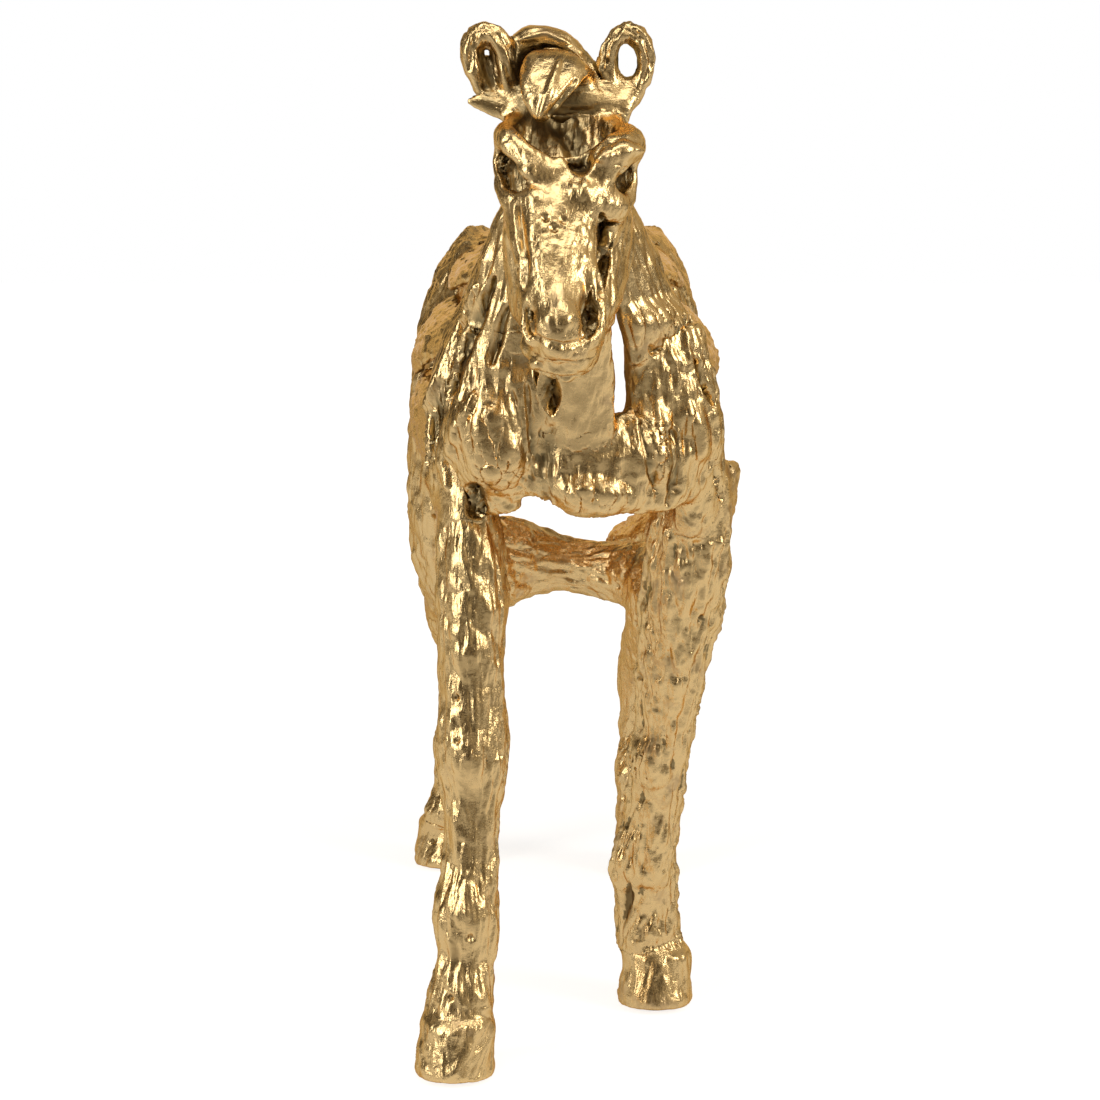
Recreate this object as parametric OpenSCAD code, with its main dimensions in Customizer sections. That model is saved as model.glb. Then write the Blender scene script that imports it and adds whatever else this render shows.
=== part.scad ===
// Walking horse statue: an openwork figure of gilded castings pinned round a steel armature.
// It faces -Y and stands on Z = 0. Its own right side is at -X.

/* [Overall size] */
// Height from the shelf to the ear tips
statue_h = 560; // [520:1:600]
// Length from the muzzle to the end of the tail
statue_l = 620; // [580:1:660]
// Width across the widest castings
statue_w = 200; // [190:1:215]

/* [Hooves] */
// Half width of a hoof at the ground
hoof_r = 22; // [20:0.5:24]
// Height of the hoof, up to the coronet
hoof_h = 32; // [30:1:34]
// Diameter of the felt pad under a hoof
pad_d = 30; // [24:1:34]
// Thickness of the felt pad
pad_t = 1.5; // [1:0.5:2.5]
// How far the pad stands out of its recess
pad_proud = 0.5; // [0.3:0.1:0.8]

/* [Armature] */
// Diameter of the steel rods in the legs, neck and back
rod_d = 6; // [5:0.5:7]
// Diameter of the dowels in the strap ends
dowel_d = 4; // [3:0.5:4.5]
// Length of those dowels
dowel_l = 20; // [16:1:22]
// Diameter of the pins in the head
pin_d = 3; // [2:0.5:3.5]
// Clearance round every rod, dowel and pin
fit = 0.05; // [0.03:0.01:0.1]

/* [Hidden] */
GOLD = "goldenrod";
STEEL = "silver";
FELT = "dimgray";
$fn = 32;

// The lines below are drawn at this size, then stretched to the size asked for
drawn_size = [200, 620, 560];
stretch = [statue_w / drawn_size.x, statue_l / drawn_size.y, statue_h / drawn_size.z];
// Moves the drawing so that the origin is under the middle of the figure
to_middle = [1.2, 9.3, 0];
// Middle of the barrel, which the rib straps curve round
barrel_axis = [0, 0, 335];
far = 900;
// Half width of the hooves as drawn
drawn_hoof_r = 22;
// How far a dowel reaches past the end of its strap
dowel_past_end = 1.5;

// Each line is a row of stations: x, y, z, half width, half thickness

// Head
nasal_line = [[0, -262, 490, 13, 6], [-3, -273, 473, 19, 7], [-4, -283, 456, 18, 8], [-4, -293, 437, 16.5, 9],
    [-4, -303, 422, 11.5, 9], [-4, -311, 412, 11.5, 9], [-3, -312, 404, 9, 6]];
upper_lip_line = [[-16, -298, 404, 5, 4], [-10, -306, 404, 6, 5], [-3, -311, 404, 7, 6],
    [5, -307, 402, 5, 5], [13, -298, 402, 5, 4]];
right_wing_line = [[-16, -287, 438, 6, 4.5], [-19, -293, 425, 5, 3], [-20, -299, 414, 4.5, 2.5],
    [-16, -304, 404, 5, 4]];
left_wing_line = [[11, -288, 438, 6, 4.5], [16, -293, 426, 5, 3], [17, -299, 414, 4.5, 2.5],
    [12, -305, 403, 5, 4]];
right_brow_line = [[-6, -268, 481, 8, 6], [-17, -267, 490, 7.5, 6], [-27, -259, 499, 6.5, 6],
    [-30, -244, 503, 7, 6], [-24, -228, 508, 8, 6], [-17, -218, 516, 7, 5]];
left_brow_line = [[7, -267, 481, 9, 6], [18, -267, 489, 10, 8], [29, -258, 497, 10, 8],
    [32, -246, 499, 9, 8], [23, -228, 505, 8, 7], [18, -218, 515, 7, 5]];
right_orbit_line = [[-6, -277, 467, 9, 5], [-21, -273, 468, 8, 5], [-31.5, -260, 473, 5, 3.5],
    [-35, -248, 487, 2.6, 2.5], [-32, -242, 501, 5, 3.5]];
left_orbit_line = [[4, -277, 470, 10, 5], [18, -272, 471, 11, 5], [28, -262, 467, 7, 4.5],
    [33.5, -250, 478, 3.5, 3], [33, -245, 494, 5, 4]];
right_face_line = [[-24, -268, 468, 11, 5], [-21, -279, 450, 10, 5], [-17, -290, 432, 8, 5],
    [-15, -297, 418, 5, 4]];
cranium_line = [[0, -216, 513, 24, 6], [0, -229, 501, 33, 7], [0, -243, 483, 36, 7], [-1, -257, 461, 30, 6],
    [-2, -274, 438, 17, 5]];
right_cheek_line = [[-26.5, -243, 472, 19, 4], [-27, -241, 462, 23, 4.5], [-27, -241, 446, 24, 5],
    [-24, -252, 426, 18, 5], [-18, -277, 411, 9, 4]];
left_cheek_line = [[28, -246, 464, 15, 4.2], [28, -245, 456, 17, 4.5], [27.5, -246, 446, 17, 4.5],
    [23, -257, 428, 13, 5], [16, -277, 415, 9, 4]];
jaw_line = [[-19, -226, 446, 14, 5], [-18, -252, 426, 11, 5], [-15.5, -280, 407, 9, 5],
    [-10, -296, 396, 9, 8], [-1, -301, 393, 9, 8], [7, -296, 396, 9, 8], [12.5, -281, 406, 9, 5],
    [18, -254, 422, 11, 5], [20, -226, 442, 14, 5]];
poll_line = [[-31, -213, 513, 10, 10], [-16, -217, 519, 11, 10], [0, -218, 521, 12, 10],
    [17, -216, 519, 11, 10], [33, -213, 514, 10, 11]];
forelock_line = [[2, -212, 532, 15, 8], [-3, -226, 538, 18, 7], [-8, -240, 531, 17, 6],
    [-12, -249, 520, 11, 5.5], [-13, -253, 509, 3, 2.5]];
crest_lock_line = [[-26, -205, 520, 9, 6], [-27, -204, 541, 10, 7], [-18, -204, 552, 11, 6.5],
    [-2, -204, 549, 11, 6], [10, -205, 536, 10, 6], [16, -207, 520, 9, 6]];
crest_back_line = [[-5, -206, 518, 19, 4], [-5, -203, 534, 20, 4], [-8, -199, 549, 13, 4]];
mane_flake_line = [[-22, -216, 515, 7, 6], [-36, -219, 516, 6, 5], [-51, -222, 520, 2, 1.5]];
right_ear_line = [[-25, -214, 515, 6, 5], [-29, -214, 528, 9, 5], [-33, -217, 548, 9, 5.5],
    [-41, -217, 554.3, 8, 6], [-49, -216, 547, 8, 6], [-46, -214, 532, 8, 5], [-36, -214, 519, 5, 4]];
right_ear_web_line = [[-32, -212, 519, 7, 4], [-38, -210, 528, 9, 4], [-40, -210, 541, 7, 3]];
left_ear_line = [[24, -213, 517, 7, 4], [22, -214, 532, 7, 4.5], [23, -215, 548, 8, 4.5],
    [32, -215, 555, 7, 5], [40.5, -215, 548, 8, 4.5], [41, -214, 534, 7, 5], [34, -213, 519, 7, 4]];
left_ear_web_line = [[30, -213, 518, 9, 5], [31, -213, 525, 9, 4], [32, -213, 531, 6, 3]];

// Neck
neck_crest_line = [[0, -219, 517, 11, 8], [0, -207, 508, 13, 10], [0, -188, 495, 14, 12],
    [0, -158, 476, 15, 13], [1, -128, 456, 17, 12], [2, -100, 442, 17, 10]];
mane_lock_lines = [for (i = [0 : 4])
    let (y = -194 + 21 * i, z = 501 - 13.5 * i, side = i % 2 == 0 ? -5 : 6)
    [[side * 0.4, y, z, 11, 6], [side, y + 16, z + 9, 12, 6],
        [side * 1.8, y + 34, z + 5, 9, 4], [side * 2.4, y + 50, z - 5, 2, 1.5]]];
neck_right_line = [[-6, -203, 500, 11, 6], [-25, -206, 452, 18, 8], [-33, -203, 418, 22, 9],
    [-35, -200, 391, 23, 10]];
neck_left_line = [[9, -199, 497, 11, 6], [30, -195, 450, 18, 7], [42, -185, 414, 26, 8],
    [49, -179, 390, 26, 9]];
throat_line = [[21, -252, 423, 9, 5], [10, -228, 404, 15, 7], [6, -212, 374, 21, 8], [6, -200, 336, 21, 8]];
right_neck_side_line = [[-6, -188, 491, 13, 6], [-31, -174, 452, 23, 6], [-43, -159, 426, 24, 7],
    [-48, -150, 408, 21, 7]];
left_neck_side_line = [[7, -184, 489, 13, 6], [33, -167, 452, 22, 6], [44, -154, 431, 23, 7],
    [49, -149, 416, 21, 7]];

// Body
chest_line = [[-34, -190, 326, 18, 10], [-14, -197, 330, 19, 11], [10, -199, 327, 25, 11],
    [36, -191, 329, 28, 12], [60, -178, 331, 28, 11], [76, -158, 333, 23, 9]];
pectoral_lines = [
    [[-35, -200, 400, 21, 9], [-36, -200, 372, 25, 12], [-40, -198, 342, 27, 14], [-37, -192, 319, 19, 11],
        [-33, -188, 303, 9, 6]],
    [[51, -179, 398, 24, 9], [57, -179, 370, 27, 12], [62, -175, 340, 27, 13], [64, -166, 314, 20, 11]]];
right_shoulder_line = [[-12, -104, 440, 16, 8], [-36, -122, 424, 26, 8], [-55, -142, 395, 31, 9],
    [-64, -152, 355, 31, 10], [-62, -158, 318, 26, 11], [-57, -162, 290, 20, 10]];
left_shoulder_line = [[16, -104, 440, 16, 8], [40, -122, 428, 26, 8], [58, -142, 400, 31, 10],
    [70, -152, 360, 32, 12], [75, -150, 320, 29, 13], [73, -144, 288, 22, 12]];
elbow_spur_line = [[80, -126, 272, 12, 9], [89, -130, 299, 12, 7], [93, -134, 322, 6, 4]];
back_line = [[2, -112, 440, 18, 8], [2, -60, 439, 20, 8], [2, 0, 436, 20, 8], [2, 50, 436, 22, 8],
    [3, 84, 438, 24, 7]];
croup_line = [[2, 58, 435, 28, 6], [4, 95, 442, 54, 8], [5, 135, 443, 65, 8], [5, 170, 432, 54, 9],
    [4, 200, 412, 32, 10], [3, 216, 398, 17, 9]];
right_rib_lines = [
    [[-34, -112, 430, 12, 5], [-48, -55, 425, 21, 5.5], [-54, 10, 421, 19, 5.5], [-54, 92, 423, 18, 5]],
    [[-58, -120, 392, 14, 5], [-73, -62, 387, 22, 6], [-79, 20, 381, 27, 6], [-77, 93, 380, 21, 5]],
    [[-66, -129, 346, 17, 5], [-79, -75, 339, 26, 6], [-85, 0, 332, 24, 6], [-85, 94, 327, 27, 5]],
    [[-60, -146, 304, 14, 5], [-60, -80, 291, 21, 6], [-55, -10, 280, 27, 6], [-76, 94, 266, 21, 5]]];
left_rib_lines = [
    [[38, -112, 431, 12, 5], [51, -50, 426, 19, 5.5], [56, 15, 422, 21, 5.5], [56, 92, 423, 18, 5]],
    [[64, -121, 392, 16, 5], [76, -60, 386, 25, 6], [81, 15, 379, 24, 6], [79, 96, 376, 19, 5]],
    [[75, -127, 342, 17, 5], [83, -75, 335, 24, 6], [87, 0, 327, 27, 6], [86, 94, 320, 25, 5]],
    [[69, -120, 295, 15, 5], [57, -80, 285, 25, 6], [48, -10, 271, 27, 6], [72, 94, 258, 21, 5]]];
right_haunch_line = [[-54, 128, 434, 45, 8], [-71, 132, 410, 55, 9], [-83, 134, 358, 56, 11],
    [-87, 132, 304, 52, 12], [-85, 126, 256, 44, 14], [-77, 130, 220, 36, 17], [-68, 140, 196, 27, 17]];
left_haunch_line = [[56, 128, 433, 45, 8], [70, 132, 408, 55, 9], [79, 132, 356, 56, 11],
    [86, 129, 302, 52, 12], [83, 121, 254, 44, 15], [73, 121, 220, 36, 19], [67, 131, 196, 27, 18]];
yoke_line = [[-60, 150, 211, 33, 15], [-36, 168, 217, 31, 14], [0, 178, 213.5, 18.5, 13],
    [38, 166, 209, 21, 14], [57, 147, 208, 25, 15]];
tail_line = [[3, 200, 408, 11, 9], [3, 226, 412, 15, 11], [2, 252, 400, 17, 11], [0, 273, 370, 15, 10],
    [-2, 286, 332, 11, 7], [-3, 293, 298, 4, 3]];
tail_lock_lines = [
    [[7, 236, 406, 6, 6], [14, 264, 384, 10, 6], [16, 284, 352, 8, 5], [14, 299, 322, 2, 2]],
    [[-4, 240, 400, 6, 6], [-13, 262, 376, 10, 6], [-16, 276, 344, 8, 5], [-16, 282, 312, 2, 2]]];

// Slits through the wide shells: narrow across the shell and deep through it
right_shoulder_slit = [[-48, -126, 408, 1, 30], [-60, -130, 378, 4, 30], [-66, -138, 346, 1, 30]];
left_shoulder_slit = [[52, -124, 412, 1, 30], [66, -128, 380, 5, 30], [74, -134, 342, 1, 30]];
right_haunch_slits = [
    [[-76, 104, 392, 1, 30], [-84, 98, 350, 5, 30], [-87, 106, 304, 1, 30]],
    [[-72, 156, 404, 1, 30], [-82, 164, 362, 6, 30], [-86, 154, 318, 1, 30]],
    [[-87, 132, 300, 1, 30], [-86, 124, 272, 5, 30], [-82, 128, 242, 1, 30]]];
left_haunch_slits = [
    [[77, 100, 396, 1, 30], [85, 104, 356, 6, 30], [88, 96, 312, 1, 30]],
    [[76, 150, 402, 1, 30], [84, 160, 350, 5, 30], [88, 150, 300, 1, 30]],
    [[88, 122, 310, 1, 30], [87, 128, 276, 5, 30], [80, 120, 240, 1, 30]]];
croup_slits = [
    [[-20, 84, 442, 1, 30], [-28, 120, 444, 5, 30], [-22, 162, 436, 1, 30]],
    [[26, 92, 442, 1, 30], [36, 122, 444, 4, 30], [32, 156, 438, 1, 30]]];

// Legs, from the top to the coronet
right_foreleg_line = [[-54, -158, 322, 15, 21], [-52, -165, 286, 18, 25], [-50, -173, 255, 20, 24],
    [-50.5, -179, 228, 18.5, 21], [-50.5, -184, 200, 18, 19], [-50, -188, 175, 20, 20],
    [-50.5, -191, 151, 17.5, 17], [-50.5, -195, 123, 14.5, 15], [-52.5, -200, 98, 16.5, 17],
    [-53, -203, 82, 18.5, 19], [-53, -207, 62, 16, 16], [-56, -211, 44, 17, 18],
    [-57.5, -213, 28, 19.5, 20]];
left_foreleg_line = [[74, -140, 320, 18, 22], [70, -136, 290, 23, 26], [67, -131, 262, 24, 26],
    [64, -124, 230, 22, 23], [59, -115, 185, 18, 19], [55.5, -108, 150, 16.5, 18],
    [51.5, -103, 122, 16, 16], [47.5, -99, 98, 18, 17], [47, -96, 82, 19.5, 19], [47.5, -92, 66, 18, 17],
    [48.5, -90, 48, 19.5, 19], [50.5, -90, 28, 20.5, 20]];
right_hindleg_line = [[-70, 132, 212, 21, 27], [-69, 148, 190, 21, 28], [-67, 178, 165, 17, 23],
    [-66, 204, 143, 16, 21], [-68, 212, 118, 15, 18], [-69, 210, 92, 14, 15], [-71, 206, 70, 16, 17],
    [-73, 203, 52, 14.5, 15], [-76, 202, 40, 17, 18], [-77, 203, 28, 19.5, 20]];
left_hindleg_line = [[67, 120, 214, 24, 30], [63, 140, 190, 22, 28], [58, 165, 165, 18, 23],
    [55, 190, 143, 17, 21], [54, 196, 118, 15, 18], [53, 193, 92, 14, 15], [52, 188, 70, 16, 17],
    [52, 184, 52, 14.5, 15], [54, 183, 40, 17, 18], [55, 184, 28, 19.5, 20]];

// Middle of each hoof on the ground
right_fore_foot = [-59, -220];
left_fore_foot = [53, -97];
right_hind_foot = [-79, 206];
left_hind_foot = [56, 186];
feet = [right_fore_foot, left_fore_foot, right_hind_foot, left_hind_foot];

// Ends of each armature rod
right_fore_rod_line = [[-57.8, -212.6, 8], [-52.6, -163.7, 335]];
left_fore_rod_line = [[49.7, -89.5, 8], [68.6, -137.8, 335]];
right_hind_rod_lines = [[[-77.6, 205.5, 8], [-67.5, 211, 134]], [[-66, 196, 156], [-76, 122, 238]]];
left_hind_rod_lines = [[[55, 185, 8], [55, 197, 134]], [[56, 182, 156], [74, 116, 238]]];
spine_rod_line = [[2, -118, 441], [4, 126, 439]];
neck_rod_line = [[1, -126, 455], [0, -222, 520]];
tail_pin_line = [[3, 186, 418], [3, 236, 408]];
body_rod_lines = concat([right_fore_rod_line, left_fore_rod_line, spine_rod_line, neck_rod_line],
    [tail_pin_line], right_hind_rod_lines, left_hind_rod_lines);
head_pin_lines = [
    [[-25, -213, 513], [-29.5, -214, 531]], [[27, -213, 515], [22.5, -214, 534]],
    [[2, -212, 522], [0, -222, 538]], [[-20, -208, 515], [-24, -204.5, 534]],
    [[15, -208, 518], [13, -205, 534]],
    [[-18, -216, 513], [-43, -220, 517]],
    [[-16, -216.5, 518], [-25, -229, 507]], [[17, -216, 517], [24, -229, 505]],
    [[-28.5, -263.5, 471], [-27, -250, 456]], [[27.5, -262, 468], [26.5, -249, 453]],
    [[-28, -250, 432], [-14, -250, 430]], [[26, -258, 430], [13, -258, 426]]];
// The straps whose two ends are dowelled into the castings that carry them
neck_strap_lines = [neck_right_line, neck_left_line, throat_line, right_neck_side_line, left_neck_side_line];
strap_lines = concat(right_rib_lines, left_rib_lines, neck_strap_lines, [yoke_line]);

// Vectors and curves
function unit(v) = v / norm(v);
function square_to(v, t) = unit(v - (v * t) * t);
function place(p) = [for (i = [0 : 2]) (p[i] + to_middle[i]) * stretch[i]];
function curve_at(a, b, c, d, u) =
    0.5 * (2 * b + (c - a) * u + (2 * a - 5 * b + 4 * c - d) * u * u + (3 * b - a - 3 * c + d) * u * u * u);
function flowing(line, steps) = let (last = len(line) - 1) concat(
    [for (i = [0 : last - 1], j = [0 : steps - 1])
        curve_at(line[max(i - 1, 0)], line[i], line[i + 1], line[min(i + 2, last)], j / steps)],
    [line[last]]);
// Direction of a line at one of its stations
function heading(points, i) =
    unit(place(points[min(i + 1, len(points) - 1)]) - place(points[max(i - 1, 0)]));

// A solid drawn along a line of stations, with oval sections that face the way given by out.
// Given about, the sections face away from that point or axis instead. bow bends them to that radius.
module casting(line, out = [0, -1, 0], about = undef, bow = 1e6, steps = 2, sides = 12) {
    points = flowing(line, steps);
    rings = [for (i = [0 : len(points) - 1])
        let (p = points[i], c = place(p), t = heading(points, i),
            centre = [for (k = [0 : 2]) is_undef(about[k]) ? p[k] : about[k]],
            away = is_undef(about) ? out : c - place(centre),
            n = square_to(away, t), b = cross(n, t))
        [for (k = [0 : sides - 1])
            let (a = 360 * k / sides, s = p[3] * cos(a))
            c + b * s + n * (p[4] * sin(a) - s * s / (2 * bow))]];
    last = len(rings) - 1;
    caps = [place(points[0]), place(points[last])];
    first_cap = len(rings) * sides;
    function at(i, k) = i * sides + k % sides;
    polyhedron(
        points = concat([for (ring = rings) for (p = ring) p], caps),
        faces = concat(
            [for (i = [0 : last - 1], k = [0 : sides - 1]) [at(i, k), at(i + 1, k), at(i + 1, k + 1)]],
            [for (i = [0 : last - 1], k = [0 : sides - 1]) [at(i, k), at(i + 1, k + 1), at(i, k + 1)]],
            [for (k = [0 : sides - 1]) [first_cap, at(0, k), at(0, k + 1)]],
            [for (k = [0 : sides - 1]) [first_cap + 1, at(last, k + 1), at(last, k)]]));
}

// A round bar between two points
module bar(ends, d) {
    a = place(ends[0]);
    b = place(ends[1]);
    v = b - a;
    translate(a)
        rotate([0, acos(v.z / norm(v)), atan2(v.y, v.x)])
            cylinder(d = d, h = norm(v));
}

// The dowel in one end of a strap, along the strap
function dowel_line(line, at_end) =
    let (points = flowing(line, 4), last = len(points) - 1,
        p = at_end ? points[last] : points[0],
        q = at_end ? points[last - 2] : points[2],
        a = [p.x, p.y, p.z], way = unit([q.x, q.y, q.z] - a))
    [a - way * dowel_past_end, a + way * (dowel_l - dowel_past_end)];
function dowels_of(lines) = [for (line = lines, at_end = [false, true]) dowel_line(line, at_end)];
dowel_lines = dowels_of(strap_lines);

module rod_sockets() for (ends = body_rod_lines) bar(ends, rod_d + 2 * fit);
module dowel_sockets() for (ends = dowel_lines) bar(ends, dowel_d + 2 * fit);
module pin_sockets() for (ends = head_pin_lines) bar(ends, pin_d + 2 * fit);

// The first child, cut back where the others already fill the space
module trimmed() {
    resize([0, 0, 0])
        difference() {
            children(0);
            for (i = [1 : 1 : $children - 1]) children(i);
        }
}

// A casting of the body, drilled for the armature and the dowels
module body_part() {
    color(GOLD)
        difference() {
            children();
            rod_sockets();
            dowel_sockets();
        }
}

// A casting of the head, drilled for its pins and the neck rod
module head_part() {
    color(GOLD)
        difference() {
            children();
            pin_sockets();
            bar(neck_rod_line, rod_d + 2 * fit);
            for (ends = dowels_of(neck_strap_lines)) bar(ends, dowel_d + 2 * fit);
        }
}

// Forms of the head, before they are cut to meet each other
module poll_form() casting(poll_line, [0, -0.3, 1]);
module skull_form() {
    casting(nasal_line, [0, -0.85, 0.5], bow = 24);
    casting(upper_lip_line, sides = 10);
    casting(right_wing_line, [-1, -0.6, 0], sides = 8);
    casting(left_wing_line, [1, -0.6, 0], sides = 8);
    casting(right_brow_line, [-0.4, -0.6, 0.7], sides = 10);
    casting(left_brow_line, [0.4, -0.6, 0.7], sides = 10);
    casting(right_face_line, [-0.8, -0.6, 0.1], sides = 10);
    casting(right_orbit_line, [-0.7, -0.7, 0], sides = 8);
    casting(left_orbit_line, [0.7, -0.7, 0], sides = 8);
    casting(cranium_line, [0, -0.8, 0.6]);
}
module right_cheek_form() casting(right_cheek_line, [-1, 0, 0.1]);
module left_cheek_form() casting(left_cheek_line, [1, -0.35, 0.1]);
module jaw_form() casting(jaw_line, about = [0, -245, undef]);
module neck_crest_form() casting(neck_crest_line, [0, -0.4, 1]);

// Head
module poll() head_part() poll_form();
module skull() head_part() trimmed() { skull_form(); poll_form(); neck_crest_form(); }
module right_cheek() head_part() trimmed() { right_cheek_form(); skull_form(); }
module left_cheek() head_part() trimmed() { left_cheek_form(); skull_form(); }
module lower_jaw()
    head_part() trimmed() { jaw_form(); right_cheek_form(); left_cheek_form(); skull_form(); }
module forelock()
    head_part() trimmed() { casting(forelock_line, [0, -0.6, 0.8]); poll_form(); crest_lock_form(); }
module crest_lock_form() {
    casting(crest_lock_line, about = [-6, undef, 515], sides = 10);
    casting(crest_back_line, sides = 10);
}
module crest_lock() head_part() trimmed() { crest_lock_form(); poll_form(); neck_crest_form(); }
module mane_flake()
    head_part()
        trimmed() {
            casting(mane_flake_line, [0, -1, 0.3], sides = 8);
            poll_form();
            right_ear_form();
            skull_form();
        }
module right_ear_form() {
    casting(right_ear_line, about = [-39, undef, 533], sides = 10);
    casting(right_ear_web_line, sides = 8);
}
module left_ear_form() {
    casting(left_ear_line, about = [32, undef, 535], sides = 10);
    casting(left_ear_web_line, sides = 8);
}
module right_ear() head_part() trimmed() { right_ear_form(); poll_form(); crest_lock_form(); skull_form(); }
module left_ear() head_part() trimmed() { left_ear_form(); poll_form(); crest_lock_form(); skull_form(); }

// Neck
module neck_crest() body_part() trimmed() { neck_crest_form(); poll_form(); }
module mane_locks()
    color(GOLD)
        for (i = [0 : len(mane_lock_lines) - 1])
            trimmed() {
                casting(mane_lock_lines[i], [1, 0, 0], sides = 8);
                neck_crest_form();
                crest_lock_form();
                back_form();
            }
module neck_right_form() casting(neck_right_line, [-0.5, -0.8, 0], bow = 60);
module neck_left_form() casting(neck_left_line, [0.7, -0.6, 0.2]);
module right_neck_side_form() casting(right_neck_side_line, [-0.9, -0.1, 0.4]);
module left_neck_side_form() casting(left_neck_side_line, [0.9, -0.1, 0.4]);
module neck_right_strap()
    body_part()
        trimmed() {
            neck_right_form();
            neck_crest_form();
            chest_form();
            poll_form();
            right_shoulder_form();
        }
module neck_left_strap()
    body_part()
        trimmed() {
            neck_left_form();
            neck_crest_form();
            left_shoulder_form();
            chest_form();
            poll_form();
            neck_right_form();
        }
module right_neck_side()
    body_part()
        trimmed() {
            right_neck_side_form();
            neck_crest_form();
            right_shoulder_form();
            neck_right_form();
        }
module left_neck_side()
    body_part()
        trimmed() {
            left_neck_side_form();
            neck_crest_form();
            left_shoulder_form();
            neck_left_form();
        }
module throat_strap()
    body_part()
        trimmed() {
            casting(throat_line);
            chest_form();
            jaw_form();
            left_cheek_form();
            neck_right_form();
        }

// Body
module chest_form() {
    casting(chest_line, sides = 14);
    casting(pectoral_lines[0], [-0.3, -1, 0], sides = 14);
    casting(pectoral_lines[1], [0.5, -1, 0], sides = 14);
}
module right_shoulder_form() casting(right_shoulder_line, [-1, -0.3, 0.2], bow = 90);
module left_shoulder_form() {
    casting(left_shoulder_line, [1, -0.3, 0.2], bow = 90);
    casting(elbow_spur_line, [0.8, 0, -0.6], sides = 8);
}
module back_form() casting(back_line, [0, 0, 1]);
module croup_form() casting(croup_line, [0, 0.1, 1], bow = 115, sides = 14);
module right_haunch_form() casting(right_haunch_line, [-1, 0.1, 0.25], bow = 120, sides = 14);
module left_haunch_form() casting(left_haunch_line, [1, 0.1, 0.25], bow = 120, sides = 14);

module side_slits(lines) for (line = lines) casting(line, [1, 0, 0], sides = 8);
module chest() body_part() chest_form();
module right_shoulder()
    body_part()
        trimmed() {
            right_shoulder_form();
            chest_form();
            neck_crest_form();
            back_form();
            side_slits([right_shoulder_slit]);
        }
module left_shoulder()
    body_part()
        trimmed() {
            left_shoulder_form();
            chest_form();
            neck_crest_form();
            back_form();
            side_slits([left_shoulder_slit]);
        }
module back_strap() body_part() trimmed() { back_form(); neck_crest_form(); croup_form(); }
module croup()
    body_part()
        trimmed() {
            croup_form();
            for (line = croup_slits) casting(line, [0, 0, 1], sides = 8);
        }
module rib(line) {
    body_part()
        trimmed() {
            casting(line, about = [barrel_axis.x, undef, barrel_axis.z], bow = 80, steps = 3);
            children();
        }
}
module right_rib(i)
    rib(right_rib_lines[i]) {
        right_shoulder_form();
        right_haunch_form();
        croup_form();
        chest_form();
        leg_form(right_foreleg_line);
    }
module left_rib(i)
    rib(left_rib_lines[i]) {
        left_shoulder_form();
        left_haunch_form();
        croup_form();
        chest_form();
        leg_form(left_foreleg_line);
    }
module right_haunch()
    body_part() trimmed() { right_haunch_form(); croup_form(); side_slits(right_haunch_slits); }
module left_haunch()
    body_part() trimmed() { left_haunch_form(); croup_form(); side_slits(left_haunch_slits); }
module hind_yoke()
    body_part()
        trimmed() {
            casting(yoke_line);
            right_haunch_form();
            left_haunch_form();
            right_hindleg_form();
            left_hindleg_form();
        }
module tail()
    body_part()
        trimmed() {
            union() {
                casting(tail_line, [0, 0.7, 0.7]);
                for (line = tail_lock_lines) casting(line, [0, 0.7, 0.7], sides = 8);
            }
            croup_form();
        }

// Legs and hooves
module below(z) translate([-far, -far, z - far]) cube([2 * far, 2 * far, far]);
module leg_form(line) casting(line);
module right_hindleg_form() leg_form(right_hindleg_line);
module left_hindleg_form() leg_form(left_hindleg_line);
module leg(line) body_part() trimmed() { leg_form(line); below(hoof_h); children(); }
module right_foreleg() leg(right_foreleg_line) { right_shoulder_form(); chest_form(); }
module left_foreleg() leg(left_foreleg_line) { left_shoulder_form(); chest_form(); }
module right_hindleg() leg(right_hindleg_line) right_haunch_form();
module left_hindleg() leg(left_hindleg_line) left_haunch_form();

// A hoof leans forward, so its ground face lies ahead of the coronet
module hoof(foot) {
    k = hoof_r / drawn_hoof_r;
    hoof_line = [[foot.x, foot.y, 0, hoof_r, 26 * k], [foot.x, foot.y + 1, 8, 21.5 * k, 24.5 * k],
        [foot.x + 0.5, foot.y + 3, 20, 20 * k, 22 * k], [foot.x + 1, foot.y + 4, 28, 20.5 * k, 21.5 * k],
        [foot.x + 1, foot.y + 4, 38, 18.5 * k, 19 * k]];
    color(GOLD)
        difference() {
            trimmed() {
                casting(hoof_line, sides = 18);
                below(pad_proud);
                translate([0, 0, hoof_h]) below(far);
            }
            rod_sockets();
            pad(foot, pad_d + 2 * fit);
        }
}
module pad(foot, d) translate(place([foot.x, foot.y, 0])) cylinder(d = d, h = pad_t);
module hoof_pads()
    color(FELT)
        for (foot = feet) pad(foot, pad_d);

// Armature
module rods(lines) color(STEEL) for (ends = lines) bar(ends, rod_d);
module strap_dowels() color(STEEL) for (ends = dowel_lines) bar(ends, dowel_d);
module head_pins() color(STEEL) for (ends = head_pin_lines) bar(ends, pin_d);

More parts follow.
